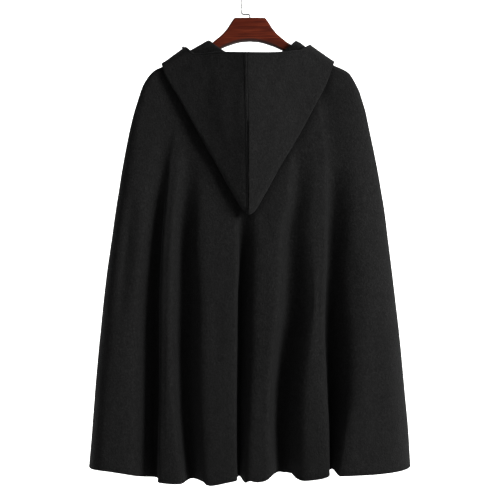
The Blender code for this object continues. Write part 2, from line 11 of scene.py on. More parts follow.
import bmesh
import bpy
import numpy as np
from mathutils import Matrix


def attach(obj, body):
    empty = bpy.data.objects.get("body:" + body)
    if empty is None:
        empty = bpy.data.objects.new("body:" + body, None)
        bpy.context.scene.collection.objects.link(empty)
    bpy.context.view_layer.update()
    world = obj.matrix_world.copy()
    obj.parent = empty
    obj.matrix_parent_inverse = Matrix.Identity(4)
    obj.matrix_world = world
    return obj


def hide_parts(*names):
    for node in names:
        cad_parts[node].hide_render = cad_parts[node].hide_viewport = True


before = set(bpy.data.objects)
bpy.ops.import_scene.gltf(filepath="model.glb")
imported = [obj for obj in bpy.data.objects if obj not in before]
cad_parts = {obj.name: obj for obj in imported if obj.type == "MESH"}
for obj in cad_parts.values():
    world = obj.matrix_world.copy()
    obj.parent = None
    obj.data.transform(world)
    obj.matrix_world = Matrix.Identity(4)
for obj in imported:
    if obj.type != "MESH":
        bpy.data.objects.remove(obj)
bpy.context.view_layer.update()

MM = 0.001
SEAM = 0.03
HOOD_SEAM = 0.004


def table(columns, *rows):
    """Rows of numbers whose columns have names."""
    Row = namedtuple("Row", columns)
    return [Row(*row) for row in rows]


def column(rows, name):
    return np.array([getattr(row, name) for row in rows], float)


# Half outline of the cloth at the side seams, from the neck over the shoulder to the hem.
OUTLINE_LEFT = table(
    "out height",
    (0, -75.4), (60, -106.9), (89, -122.2), (120, -138.5), (150, -154.2), (180, -169.4), (203, -179.8),
    (214.5, -190.5), (222.6, -202), (228.8, -213), (234, -227), (238.5, -241), (247.5, -270), (255.9, -304),
    (263, -338.5), (269.4, -372.7), (275.2, -407), (280.3, -441), (285.9, -475.5), (295.3, -544),
    (305, -612), (312.9, -681), (319.3, -749), (324.9, -818), (330.4, -886), (335.8, -955), (341.5, -1024),
    (343, -1045),
)
OUTLINE_RIGHT = table(
    "out height",
    (0, -75.4), (60, -106.9), (102, -129.0), (120, -138.5), (150, -154.2), (180, -169.5), (204, -180.4),
    (213, -187.0), (218, -194), (224.3, -205), (233.6, -223), (239.8, -242), (247.6, -268), (255.1, -304),
    (262.4, -338.5), (269.4, -372.7), (275.8, -407), (281.4, -441), (287.2, -475.5), (295.7, -544),
    (304.1, -612), (312.2, -681), (319.9, -749), (326.6, -818), (332.6, -886), (338.8, -955), (342.8, -1024),
    (344, -1045),
)
OUTLINE_STEP = 3.0
NECK_LEFT, NECK_RIGHT = OUTLINE_LEFT[2].out, OUTLINE_RIGHT[2].out

# Half depth of the body down its length, and how far in from the outline that depth is reached.
BODY_DEPTH = table(
    "height half_depth reach_left reach_right",
    (-1045, 86, 44, 135), (-880, 73, 42, 124), (-740, 62, 40, 112), (-600, 52, 37, 96), (-490, 42, 34, 80),
    (-400, 32, 31, 66), (-320, 23, 26, 48), (-250, 16.5, 19, 27), (-185, 12.5, 11, 12), (-120, 11.5, 9, 9),
)
ROUNDNESS = 2.3

# Heights of each row of cloth at its two ends, and how far it sags between them.
ROWS = table(
    "left right back_sag front_sag",
    (-122.2, -129, 40, 80), (-134, -137, 38, 76), (-146, -148, 34, 70), (-159, -160, 29, 64),
    (-172, -172, 24, 58), (-186, -186, 20, 50), (-204, -204, 16, 42), (-228, -228, 12, 34),
    (-260, -260, 8, 26), (-300, -300, 4, 17), (-350, -350, 0, 9), (-415, -415, 0, 3), (-490, -490, 0, 0),
    (-580, -580, 0, 0), (-690, -690, 0, 0), (-810, -810, 0, 0), (-930, -930, 0, 0), (-1040, -1040, 0, 0),
)

# The hem's height across the back and the front, and where the rows start to follow it.
HEM_BACK = table(
    "place height",
    (-345, -1022.5), (-318, -1020), (-262, -1027), (-232, -1034), (-212, -1041), (-197, -1045), (-185, -1046),
    (-152, -1048), (-112, -1044), (-98, -1044), (-87, -1052), (-44, -1045), (-28, -1042), (-20, -1042),
    (-10, -1046), (0, -1041), (14, -1044), (33, -1041), (48, -1031), (75, -1034), (85, -1031), (95, -1039),
    (106, -1042), (120, -1041),
    (150, -1037), (166, -1031), (175, -1023), (186, -1032), (212, -1031), (270, -1029), (311, -1027),
    (345, -1025),
)
HEM_FRONT = table(
    "place height",
    (-345, -1026), (-300, -1027), (-215, -1032), (-195, -1026), (-150, -1038), (-100, -1031), (-50, -1041),
    (0, -1042), (55, -1040), (105, -1031), (150, -1037), (200, -1027), (225, -1031), (300, -1026),
    (345, -1024),
)
HEM_LEVEL = -1040.0
HEM_FOLLOWED_BELOW, HEM_BEND = -600.0, 1.5

# Sections of a valley between folds: places across it in widths where it is deep and where it is
# shallow, and the share of its depth there.
SHARP = table(
    "across shallow depth",
    (-0.30, -0.60, 0.03), (-0.10, -0.46, 0.08), (-0.02, -0.34, 0.24), (0.00, -0.22, 0.54),
    (0.04, -0.06, 0.84),
    (0.20, 0.18, 1.00), (0.44, 0.46, 0.80), (0.76, 0.78, 0.42), (1.08, 1.10, 0.15), (1.42, 1.42, 0.04),
)
SOFT = table(
    "across shallow depth",
    (-0.56, -0.52, 0.03), (-0.43, -0.38, 0.20), (-0.29, -0.24, 0.68), (-0.12, -0.06, 1.00),
    (0.12, 0.14, 0.84),
    (0.40, 0.42, 0.34), (0.66, 0.66, 0.05),
)
DEEP = 28.0
TO_LEFT, TO_RIGHT = -1, 1
Valley = namedtuple("Valley", "section way line")


def valley(section, way, *rows):
    return Valley(section, way, table("height place width depth", *rows))


VALLEYS_BACK = (
    valley(
        SHARP, TO_LEFT,
        (-1045, -192, 42, 56), (-876, -191, 45, 52), (-738, -190, 46, 45), (-642, -188.5, 45, 37),
        (-534, -185, 43, 27), (-460, -183, 40, 18), (-375, -179.4, 36, 7), (-289, -176.8, 34, 0),
    ),
    valley(
        SOFT, TO_RIGHT,
        (-1045, -118, 42, 44), (-943, -127, 50, 44), (-876, -131, 53, 43), (-773, -134, 54, 40),
        (-670, -134, 52, 35), (-565, -136, 48, 27), (-460, -133, 47, 15), (-354, -126, 44, 1),
    ),
    valley(
        SHARP, TO_RIGHT,
        (-1045, -26, 15, 56), (-876, -27, 22, 52), (-773, -26.6, 27, 46), (-670, -26, 30, 37),
        (-597, -24, 31, 29), (-503, -22, 32, 14), (-440, -20, 32, 2),
    ),
    valley(
        SOFT, TO_RIGHT,
        (-1045, 72, 60, 56), (-943, 70, 61, 52), (-876, 71, 62, 47), (-808, 76, 62, 42), (-738, 84, 62, 36),
        (-670, 91, 61, 30), (-530, 90, 56, 18), (-460, 100.5, 48, 12), (-347, 107.3, 44, 1),
    ),
    valley(
        SHARP, TO_RIGHT,
        (-1045, 165, 14, 57), (-944, 165, 28, 56), (-876, 162.6, 42, 55), (-808, 160, 50, 51),
        (-738, 157.5, 54, 46), (-670, 158, 54, 40), (-601, 161, 52, 33), (-530, 164, 48, 26),
        (-460, 168, 44, 18), (-375, 173, 40, 4),
    ),
)
VALLEYS_FRONT_LEFT = (
    valley(
        SHARP, TO_LEFT,
        (-1045, -196, 34, 50), (-876, -193, 34, 42), (-738, -189, 34, 34), (-600, -184, 33, 26),
        (-460, -178, 31, 11), (-375, -174, 30, 2),
    ),
    valley(
        SOFT, TO_RIGHT,
        (-1045, -96, 56, 52), (-876, -99, 56, 43), (-738, -96, 54, 34), (-600, -99, 50, 22),
        (-460, -97, 46, 8), (-375, -95, 44, 0),
    ),
)
VALLEYS_FRONT_RIGHT = (
    valley(
        SOFT, TO_RIGHT,
        (-1045, 101, 60, 56), (-876, 96, 58, 46), (-738, 99, 54, 36), (-600, 95, 50, 24), (-460, 92, 46, 9),
        (-375, 90, 44, 0),
    ),
    valley(
        SHARP, TO_RIGHT,
        (-1045, 201, 32, 40), (-876, 195, 34, 34), (-738, 192, 34, 27), (-600, 186, 33, 19),
        (-460, 181, 31, 8), (-375, 178, 30, 1),
    ),
)
FOLDS_END = -375.0

# Columns that round the side, as shares of the half width.
SIDE_COLUMNS = (1.0, 0.9975, 0.99, 0.975, 0.95, 0.91)

# Front slit: half its width where it opens out, that height, and where it closes.
SLIT_HALF, SLIT_OPEN, SLIT_END = 4.0, -204.0, -385.0

# The hood's sections, from the back seam (step 0) over the shoulder (1) to the front edge (2).
HOOD = "step neck_out rim_out rim_height rim_lift fold_out fold_height fold_radius neck_roll"
HOOD_LEFT = table(
    HOOD,
    (0.00, 0, 0, -149.5, 26, 0, -491, 6.5, 5),
    (0.05, 5, 6.5, -149.4, 26, 12.5, -481.6, 6.5, 5),
    (0.18, 17, 24, -148.6, 26, 40.5, -439.3, 6.5, 5),
    (0.32, 30, 42, -147.6, 25.5, 72, -382.5, 6.5, 5),
    (0.46, 43, 59, -146.6, 25, 104, -327, 6.5, 5),
    (0.60, 56, 76, -146.5, 23, 132, -276, 6, 5),
    (0.73, 67, 92, -147.5, 20, 154, -236.8, 5.2, 5),
    (0.84, 78, 108, -148.5, 17, 171.8, -208.4, 4.2, 4.5),
    (0.93, 85, 121, -147, 15, 181.5, -189, 3.2, 4),
    (1.00, 89, 130.5, -141.5, 14.5, 186.5, -172.4, 2.7, 3.6),
    (1.12, 85, 124, -153, 14, 181, -199, 3.4, 4.5),
    (1.30, 78, 110, -166, 13, 160, -232, 4.6, 5),
    (1.50, 61, 88, -184, 12.5, 122, -254, 5, 5),
    (1.75, 34, 52, -206, 12, 66, -266, 5, 5),
    (2.00, 4, 5, -220, 12, 7, -262, 5, 5),
)
HOOD_RIGHT = table(
    HOOD,
    (0.00, 0, 0, -149.5, 26, 0, -491, 6.5, 5),
    (0.05, 5, 6.5, -149.5, 26, 9.5, -484.5, 6.5, 5),
    (0.18, 18, 24, -149.2, 26, 33, -446.3, 6.5, 5),
    (0.32, 32, 42, -148.6, 26, 66, -386, 6.5, 5),
    (0.46, 47, 60, -147.4, 26, 97, -335, 6.5, 5),
    (0.60, 63, 78, -145.5, 25, 124, -286, 6, 5.5),
    (0.73, 77, 92, -142.5, 23.5, 144, -248, 5.2, 6),
    (0.84, 89, 104, -141.5, 21, 160, -218, 4.2, 7),
    (0.93, 97, 114, -141, 18, 170.5, -191.5, 3.2, 8),
    (1.00, 102, 122, -139.3, 15.8, 178, -168.4, 2.8, 9.3),
    (1.12, 98, 118, -151, 15, 174, -195, 3.4, 8),
    (1.30, 88, 106, -164, 14, 154, -230, 4.6, 7),
    (1.50, 68, 86, -183, 13, 118, -252, 5, 6),
    (1.75, 36, 50, -206, 12, 64, -264, 5, 5),
    (2.00, 4, 5, -220, 12, 7, -260, 5, 5),
)
SHOULDER_STEP, FRONT_EDGE_STEP = 1.0, 2.0
NEAR_STEP = 0.02

# The roll at the neck seam: rise and lift are in shares of the roll, the others in millimetres.
NECK_ROLL = table(
    "rise rise_mm lift lift_mm",
    (0.0, 0.35, 0.0, 0.0), (0.6, 0.0, 0.0, 0.3), (1.0, 0.0, 0.35, 0.0), (0.75, 0.0, 0.75, 1.0),
    (0.0, -3.0, 0.7, 1.5),
)
UNDER_SHARES = (0.1, 0.24, 0.42, 0.6, 0.8, 1.0)
TURN_SHARES = (0.2, 0.4, 0.6, 0.8)
OUTER_SHARES = (1.0, 0.86, 0.7, 0.54, 0.38, 0.24, 0.12, 0.0)
UNDER_LIFT = 2.5
UNDER_FALL = 3.0
FULL_RADIUS = 6.5
PUFF = 3.0
RIM_BEND = 1.1

# The ridge along the hood's back seam, and how far to the left of the middle the seam lies.
RIDGE_SLOPE, RIDGE_REACH, RIDGE_BEND = 0.17, 105.0, 1.2
BACK_ROWS = 10
SEAM_LEAN = table("height left", (-491, 2.5), (-320, 3.0), (-153, 6.0))
LEAN_REACH = 70.0
LEAN_STARTS, LEAN_WHOLE = 5.0, 15.0

# Half outline of the hanger's wood, from the middle of its top round the tip to the arch.
HANGER = table(
    "out height",
    (0, -67.4), (31, -67.6), (34, -69.3), (38.5, -75.3), (42.8, -81.7), (46.6, -88.1), (51.6, -94.5),
    (57, -101), (64.6, -107.8), (72.6, -114.4), (80.3, -120.7), (102, -132.1), (150, -157.3), (180, -173.1),
    (192, -179.8), (198, -184.5), (200.5, -190), (199, -196), (193, -199), (183, -195), (150, -178.5),
    (100, -153), (75, -140), (53.5, -130.2), (42, -126.2), (30.6, -122.4), (18, -119.6), (0, -118.2),
)
HANGER_TOP = HANGER[0].height
HANGER_HALF = 7.0
HANGER_EDGE = 4.6
STRAIGHT_FROM = 14
SHARP_ANGLE = 40
BEVEL_STEPS = 5

WIRE_RADIUS = 1.5
HOOK_RADIUS = 17.5
HOOK_END = -38.0
JOG_HEIGHT, JOG_RADIUS = -60.0, 4.0
WIRE_SUNK = 10


def through(knots, values, at):
    """Smooth curve through the table that never overshoots its own values."""
    order = np.argsort(knots)
    knots, values = knots[order], values[order]
    gaps = np.diff(knots)
    slopes = np.diff(values) / gaps
    tangents = np.concatenate([slopes[:1], np.zeros(len(knots) - 2), slopes[-1:]])
    for i in range(1, len(knots) - 1):
        if slopes[i - 1] * slopes[i] > 0:
            near, far = 2 * gaps[i] + gaps[i - 1], gaps[i] + 2 * gaps[i - 1]
            tangents[i] = (near + far) / (near / slopes[i - 1] + far / slopes[i])
    at = np.clip(np.asarray(at, float), knots[0], knots[-1])
    i = np.clip(np.searchsorted(knots, at) - 1, 0, len(gaps) - 1)
    s = (at - knots[i]) / gaps[i]
    return (
        values[i] * (1 + 2 * s) * (1 - s) ** 2
        + tangents[i] * gaps[i] * s * (1 - s) ** 2
        + values[i + 1] * s * s * (3 - 2 * s)
        + tangents[i + 1] * gaps[i] * s * s * (s - 1)
    )


def read(rows, key, name, at):
    """One column of a table, as a smooth curve over another."""
    return through(column(rows, key), column(rows, name), at)


def arcs(line):
    """Run along each line of points (the last axis but one)."""
    steps = np.linalg.norm(np.diff(line, axis=-2), axis=-1)
    return np.concatenate([np.zeros(line.shape[:-2] + (1,)), np.cumsum(steps, -1)], -1)


def curve(line, knots, fine):
    """Points at these places of a smooth curve through a line of points, which lie at the knots."""
    return np.stack([through(knots, line[:, k], fine) for k in range(line.shape[1])], -1)


def refined(line, count):
    """A line of points, as this many points evenly spread over its steps."""
    knots = np.arange(len(line), dtype=float)
    return curve(line, knots, np.linspace(0, knots[-1], count))


def dense_outline(rows):
    line = np.array(rows, float)
    run = arcs(line)
    return curve(line, run, np.linspace(0, run[-1], int(run[-1] / OUTLINE_STEP)))


OUTLINES = {-1: dense_outline(OUTLINE_LEFT), 1: dense_outline(OUTLINE_RIGHT)}


def half_width(side, height):
    line = OUTLINES[side]
    return np.interp(-np.asarray(height, float), -line[:, 1], line[:, 0])


def inside(x, z):
    """Distances in from the outline, and the ways out to it."""
    far, out = np.full(x.shape, np.inf), np.zeros(x.shape + (2,))
    for side, line in OUTLINES.items():
        for start, end in zip(line[:-1], line[1:]):
            step = end - start
            along = (side * x - start[0]) * step[0] + (z - start[1]) * step[1]
            share = np.clip(along / (step @ step), 0, 1)
            away = np.hypot(side * x - start[0] - share * step[0], z - start[1] - share * step[1])
            nearer = (away < far) & (side * x >= 0)
            far[nearer] = away[nearer]
            out[nearer] = np.array([-step[1] * side, step[0]]) / np.hypot(*step)
        far[(side * x >= 0) & (side * x >= half_width(side, z))] = 0
    return far, out


def body(x, z):
    """Half depth of the body at these places, without its folds, and the way out of its back."""
    depth, reach_left, reach_right = (
        read(BODY_DEPTH, "height", name, z) for name in ("half_depth", "reach_left", "reach_right")
    )
    reach = np.where(x < 0, reach_left, reach_right)
    far, out = inside(x, z)
    share = np.minimum(far / reach, 1.0)
    lift = (1 - (1 - share) ** ROUNDNESS) ** (1 / ROUNDNESS)
    tilt = np.arctan(depth / reach * ((1 - share) / np.maximum(lift, MM)) ** (ROUNDNESS - 1))
    way = np.stack([out[..., 0] * np.sin(tilt), -np.cos(tilt), out[..., 1] * np.sin(tilt)], -1)
    return depth * lift, way


def valley_points(valley, height):
    """Places across one valley at this height, with how deep each lies."""
    share = min(1.0, float(half_width(1, height) / half_width(1, FOLDS_END)))
    place, width, depth = (
        float(read(valley.line, "height", name, height)) for name in ("place", "width", "depth")
    )
    deep = min(depth / DEEP, 1.0)
    points = []
    for point in valley.section:
        across = point.shallow + (point.across - point.shallow) * deep
        points.append(((place + valley.way * width * across) * share, depth * point.depth))
    return points[::valley.way]


def flat_run(row, end):
    """Two points that part a flat stretch of the row in three."""
    gap = end - row[-1][0]
    return [(row[-1][0] + gap / 3, 0.0), (end - gap / 3, 0.0)]


def panel_row(valleys, heights, start, end):
    """Places and fold depths across one row, from start to end, where 1 is a side and 0 the middle."""
    left, right = float(half_width(-1, heights.left)), float(half_width(1, heights.right))
    row = [(-left * share, 0.0) for share in SIDE_COLUMNS] if start else [(0.0, 0.0)]
    for valley in valleys:
        points = valley_points(valley, (heights.left + heights.right) / 2)
        row += flat_run(row, points[0][0]) + points
    if end:
        row += flat_run(row, right * SIDE_COLUMNS[-1])
        row += [(right * share, 0.0) for share in SIDE_COLUMNS[::-1]]
    else:
        row += flat_run(row, 0.0) + [(0.0, 0.0)]
    return np.array(row)


def unit(vectors):
    return vectors / np.maximum(np.linalg.norm(vectors, axis=-1, keepdims=True), 1e-9)


def neckline(x, front):
    """Height of the neck seam at this place."""
    neck = ROWS[0]
    share = x / (NECK_LEFT if x < 0 else NECK_RIGHT)
    sag = neck.front_sag if front else neck.back_sag
    return neck.left + (neck.right - neck.left) * (share + 1) / 2 - sag * (1 - share**2)


def hood_section(rows, side, step):
    """Flat places and lifts off the body along one section of the hood, from neck seam to rim."""
    value = {name: float(read(rows, "step", name, step)) for name in HOOD.split()}
    nearby = [min(step + NEAR_STEP, FRONT_EDGE_STEP), max(step - NEAR_STEP, 0.0)]
    ahead, behind = (
        np.array([float(read(rows, "step", name, near)) for name in ("fold_out", "fold_height")])
        for near in nearby
    )
    fold = np.array([value["fold_out"], value["fold_height"]])
    rim = np.array([value["rim_out"], value["rim_height"]])
    along = unit(ahead - behind)
    out = np.array([-along[1], along[0]])
    if out @ (fold - rim) < 0:
        out = -out
    if step in (0.0, FRONT_EDGE_STEP):
        out = np.array([0.0, -1.0])
    radius, roll = value["fold_radius"], value["neck_roll"]
    centre = fold - out * radius
    front = step > SHOULDER_STEP
    seam = np.array([value["neck_out"], neckline(side * value["neck_out"], front)])
    up = unit(seam - centre)
    path = [
        (seam + up * (roll * turn.rise + turn.rise_mm), roll * turn.lift + turn.lift_mm)
        for turn in NECK_ROLL
    ]
    start, drop = path[-1][0], path[-1][1] - UNDER_LIFT
    for share in UNDER_SHARES:
        path.append((start + (centre - start) * share, UNDER_LIFT + drop * (1 - share) ** UNDER_FALL))
    for share in TURN_SHARES:
        angle = math.pi * share
        path.append((centre + out * radius * math.sin(angle), UNDER_LIFT + radius * (1 - math.cos(angle))))
    low = UNDER_LIFT + 2 * radius
    for share in OUTER_SHARES:
        place = rim + (centre - rim) * share
        puff = PUFF * math.sin(math.pi * share) * (radius / FULL_RADIUS) ** 3
        lift = low + (value["rim_lift"] - low) * (1 - share) ** RIM_BEND + puff
        if not front:
            reach = min(float(read(rows[:BACK_ROWS], "fold_height", "fold_out", place[1])), RIDGE_REACH)
            near_seam = max(1 - abs(place[0]) / max(reach, MM), 0)
            lift += RIDGE_SLOPE * reach * near_seam**RIDGE_BEND
        path.append((place, lift))
    return [(side * place[0], place[1], lift, front) for place, lift in path]


# The wall of the cloth, its turned edges, and the rows that a turned edge needs.
WALL = 1.8
EDGE_RADIUS = 2.0
EDGE_TURN = tuple(math.radians(angle) for angle in (30, 60, 90, 120, 150))
EDGE_ROWS = (20.0, 17.0, 14.0, 11.0, 9.0, 7.6, 6.8, 6.4, 6.2, 6.0, 5.8, 5.6, 5.2, 4.4, 3.2, 2.0)
HEM_INSIDE, HEM_STEP = 14.0, 0.75
SEAM_COLUMNS = (0.0, 0.25, 0.6, 1.1, 1.8, 3.0, 4.4, 5.2, 5.6, 5.8, 6.0, 6.2, 6.4, 6.8, 7.6)
STITCH_IN = 6.0

# How fine the shells are: steps between rows at the shoulder and below, and columns to a step of the model.
ROW_STEP_HIGH, ROW_STEP_LOW, FINE_BELOW = 3.0, 5.5, -204.0
DENSE = 8


def lumps(x, z, width, height, seed):
    """Smooth random waves between -1 and 1, with lumps of about this size."""
    lattice = np.random.default_rng(seed).uniform(-1, 1, (256, 256))
    u, v = x / width + 128, z / height + 200
    i, j = np.floor(u).astype(int), np.floor(v).astype(int)
    s, t = u - i, v - j
    s, t = s**3 * (s * (6 * s - 15) + 10), t**3 * (t * (6 * t - 15) + 10)
    i, j = i % 255, j % 255
    top = lattice[i, j] * (1 - s) + lattice[i + 1, j] * s
    bottom = lattice[i, j + 1] * (1 - s) + lattice[i + 1, j + 1] * s
    return top * (1 - t) + bottom * t


def smooth_step(start, end, value):
    share = np.clip((value - start) / (end - start), 0, 1)
    return share * share * (3 - 2 * share)


# A crease: how far it stands out (or sinks in), how wide it is, and its way over the cloth.
Crease = namedtuple("Crease", "rise width way")
BACK_CREASES = (
    Crease(-6.5, 15, ((-245, -433), (-255, -523), (-264, -635), (-274, -711))),
    Crease(2.5, 14, ((-222, -440), (-230, -540), (-237, -650), (-243, -760))),
    Crease(-2.2, 9, ((28, -474), (33, -505), (38, -545))),
    Crease(3.0, 22, ((286, -640), (290, -760), (294, -880), (298, -1010))),
    Crease(-2.5, 18, ((262, -700), (264, -800), (266, -930), (268, -1030))),
    Crease(-2.0, 10, ((-68, -640), (-70, -720), (-69, -820))),
    Crease(1.8, 12, ((48, -600), (46, -700), (42, -820), (40, -930))),
    Crease(-1.6, 8, ((214, -560), (219, -640), (223, -730))),
    Crease(-2.4, 12, ((-160, -600), (-158, -690), (-156, -800))),
    Crease(1.5, 9, ((-306, -800), (-309, -900), (-312, -1015))),
)
FRONT_CREASES = (
    Crease(-5.5, 15, ((-238, -450), (-248, -560), (-256, -690), (-262, -790))),
    Crease(3.0, 16, ((-150, -560), (-148, -700), (-149, -860), (-152, -1000))),
    Crease(-3.5, 13, ((-48, -470), (-46, -590), (-49, -700))),
    Crease(2.2, 12, ((-20, -620), (-24, -760), (-22, -930))),
    Crease(-4.8, 14, ((244, -440), (252, -540), (260, -670), (266, -760))),
    Crease(2.6, 15, ((150, -600), (152, -740), (148, -900))),
    Crease(-3.0, 12, ((52, -480), (50, -600), (46, -730))),
    Crease(2.0, 11, ((24, -640), (26, -800), (23, -960))),
    Crease(1.8, 10, ((300, -780), (305, -900), (309, -1015))),
)
HOOD_CREASES = (
    Crease(0.5, 4.5, ((-150, -196), (-132, -182), (-112, -176))),
    Crease(-0.6, 4.0, ((-156, -203), (-138, -190), (-118, -184))),
    Crease(0.8, 7.0, ((-118, -168), (-98, -200), (-88, -238))),
    Crease(-1.4, 10.0, ((-78, -186), (-90, -220), (-92, -266))),
    Crease(1.6, 14.0, ((-52, -200), (-60, -270), (-50, -340))),
    Crease(-1.2, 11.0, ((66, -194), (78, -222), (80, -262))),
    Crease(1.3, 13.0, ((48, -230), (56, -300), (42, -372))),
    Crease(-0.8, 7.0, ((116, -186), (126, -204), (128, -230))),
)
# Points along a crease, how many widths away it still counts, and how fast it rises from its ends.
WAY_STEPS = 28
CREASE_REACH, CREASE_ENDS = 3, 0.8


def crease_rise(creases, x, z):
    """How far these creases move the cloth at each place."""
    rise = np.zeros(x.shape)
    for crease in creases:
        line = refined(np.array(crease.way, float), WAY_STEPS)
        reach = CREASE_REACH * crease.width
        near = (x > line[:, 0].min() - reach) & (x < line[:, 0].max() + reach)
        near &= (z > line[:, 1].min() - reach) & (z < line[:, 1].max() + reach)
        if not near.any():
            continue
        place = np.stack([x[near], z[near]], -1)
        best, run = np.full(len(place), np.inf), np.zeros(len(place))
        for k in range(WAY_STEPS - 1):
            step = line[k + 1] - line[k]
            share = np.clip((place - line[k]) @ step / (step @ step), 0, 1)
            away = np.hypot(*(place - line[k] - share[:, None] * step).T)
            nearer = away < best
            best[nearer], run[nearer] = away[nearer], (k + share[nearer]) / (WAY_STEPS - 1)
        ends = np.maximum(np.sin(math.pi * run), 0) ** CREASE_ENDS
        rise[near] += crease.rise * ends * np.exp(-((best / crease.width) ** 2))
    return rise


# How the columns crowd towards a fixed end.
CROWDING = 1.4


def resample(line, first, last, inner, join, held=None):
    """The line's points at fixed runs from both ends, and at shares of its points between them.

    join is how many columns fill the way from each fixed end to the inner ones. held is the point of
    the line from which the inner ones are drawn together, where the line is too short for both.
    """
    run = arcs(line)
    whole = run[-1]
    inner_runs = np.interp(inner, np.arange(len(line)), run)
    if held is not None:
        start, end = run[held], whole - last[-1] - CLEAR_OF_EDGE
        after = inner_runs > start
        shrink = min(1, (end - start) / (inner_runs[-1] - start))
        inner_runs[after] = start + (inner_runs[after] - start) * shrink
    places = np.array(first, float)
    if len(first):
        gap = np.linspace(0, 1, join + 1, endpoint=False)[1:]
        places = np.concatenate([places, first[-1] + (inner_runs[0] - first[-1]) * gap**CROWDING])
    places = np.concatenate([places, inner_runs])
    if len(last):
        gap = np.linspace(0, 1, join + 1, endpoint=False)[:0:-1]
        left = whole - inner_runs[-1] - last[-1]
        places = np.concatenate([places, whole - last[-1] - left * gap**CROWDING])
        places = np.concatenate([places, whole - np.array(last[::-1], float)])
    return np.stack([np.interp(places, run, line[:, k]) for k in range(line.shape[1])], -1)


def surface_normals(grid, toward):
    """Normals of a grid of points, on the side that a rough direction gives at its last row's middle."""
    across, down = np.gradient(grid, axis=1), np.gradient(grid, axis=0)
    normals = unit(np.cross(down, across))
    middle = normals[-1, grid.shape[1] // 2]
    return normals if middle @ np.array(toward, float) > 0 else -normals


def edge_loop(rows):
    """The closed section of a wall whose last rows are EDGE_ROWS: each row's number and depth in."""
    turned = [EDGE_RADIUS * (1 - math.cos(a)) for a in EDGE_TURN]
    loop = [(row, 0.0) for row in range(rows)]
    loop += [(rows + k, depth) for k, depth in zip((0, 1, 2, 1, 0), turned)]
    for back, distance in enumerate(reversed(EDGE_ROWS)):
        if distance <= HEM_INSIDE:
            loop.append((rows - 1 - back, 2 * EDGE_RADIUS))
    inside_from = rows - len([d for d in EDGE_ROWS if d <= HEM_INSIDE]) - 1
    loop.append((inside_from, HEM_STEP * 2 * EDGE_RADIUS))
    loop += [(row, WALL) for row in range(inside_from - 1, -1, -1)]
    return loop, inside_from - 1


def turn_distances():
    """Distances from the edge of the rows that only the turn has."""
    return [EDGE_RADIUS * (1 - math.sin(a)) for a in EDGE_TURN[:3]]


def hold_back(points, limits):
    """Keeps points beyond each limit along its axis, on the side that the limit's sign gives."""
    for axis, limit in limits:
        way = np.sign(limit)
        points[..., axis] = way * np.maximum(way * points[..., axis], abs(limit))


def add_shell(name, outer, normals, limits):
    """A closed thin wall on a grid whose last rows are a turned edge."""
    rows, cols = len(outer) - 3, outer.shape[1]
    loop, matched = edge_loop(rows)
    points = np.array([outer[row] - depth * normals[row] for row, depth in loop])
    hold_back(points, limits)
    count = len(loop)
    faces = []
    for k in range(count):
        after = (k + 1) % count
        for c in range(cols - 1):
            faces.append((k * cols + c, after * cols + c, after * cols + c + 1, k * cols + c + 1))
    for c in (0, cols - 1):
        for k in range(matched):
            far, farther = count - 1 - k, count - 2 - k
            faces.append((k * cols + c, far * cols + c, farther * cols + c, (k + 1) * cols + c))
        faces.append(tuple(k * cols + c for k in range(matched, count - matched)))
    return add_mesh(name, points.reshape(-1, 3), faces)


def add_object(name, data):
    obj = bpy.data.objects.new(name, data)
    bpy.context.scene.collection.objects.link(obj)
    return obj


def shade(mesh, merge=0.0):
    """Turns a mesh's faces outwards and smooths it, with points closer than merge metres joined first."""
    shape = bmesh.new()
    shape.from_mesh(mesh)
    if merge:
        bmesh.ops.remove_doubles(shape, verts=shape.verts, dist=merge)
    bmesh.ops.recalc_face_normals(shape, faces=shape.faces)
    shape.to_mesh(mesh)
    shape.free()
    mesh.shade_smooth()


def add_mesh(name, points, faces):
    mesh = bpy.data.meshes.new(name)
    mesh.from_pydata([tuple(point) for point in np.asarray(points) * MM], [], faces)
    shade(mesh)
    return add_object(name, mesh)


# Depth and reach of the soft ditch along a seam, and of the groove under a line of stitches.
DITCH_DEPTH, DITCH_REACH = 1.3, 0.7
GROOVE_DEPTH, GROOVE_REACH = 0.8, 0.6
BAND_PUFF = 0.35


def ditch(distance):
    return -DITCH_DEPTH * np.exp(-distance / DITCH_REACH)


def groove(distance, place=STITCH_IN, depth=GROOVE_DEPTH):
    return -depth * np.exp(-(((distance - place) / GROOVE_REACH) ** 2))


def sewn_edge(distance):
    """How a seam's ditch and its line of stitches move the cloth, by the distance from the seam."""
    return ditch(distance) + groove(distance)


def turned_edge(distance):
    """How the stitches along a turned edge move the cloth, by the distance from the edge."""
    return groove(distance) + BAND_PUFF * np.sin(math.pi * np.clip(distance / STITCH_IN, 0, 1))


def fine_rows():
    """Heights of a panel's rows at its left side, with the turned hem's rows last."""
    neck, shoulder, hem = ROWS[0].left, FINE_BELOW, ROWS[-1].left
    high = np.arange(neck, shoulder, -ROW_STEP_HIGH)
    low = np.linspace(shoulder, hem + EDGE_ROWS[0], int((shoulder - hem - EDGE_ROWS[0]) / ROW_STEP_LOW) + 1)
    return np.concatenate([high, low[:-1], hem + np.array(EDGE_ROWS), hem + np.array(turn_distances())])


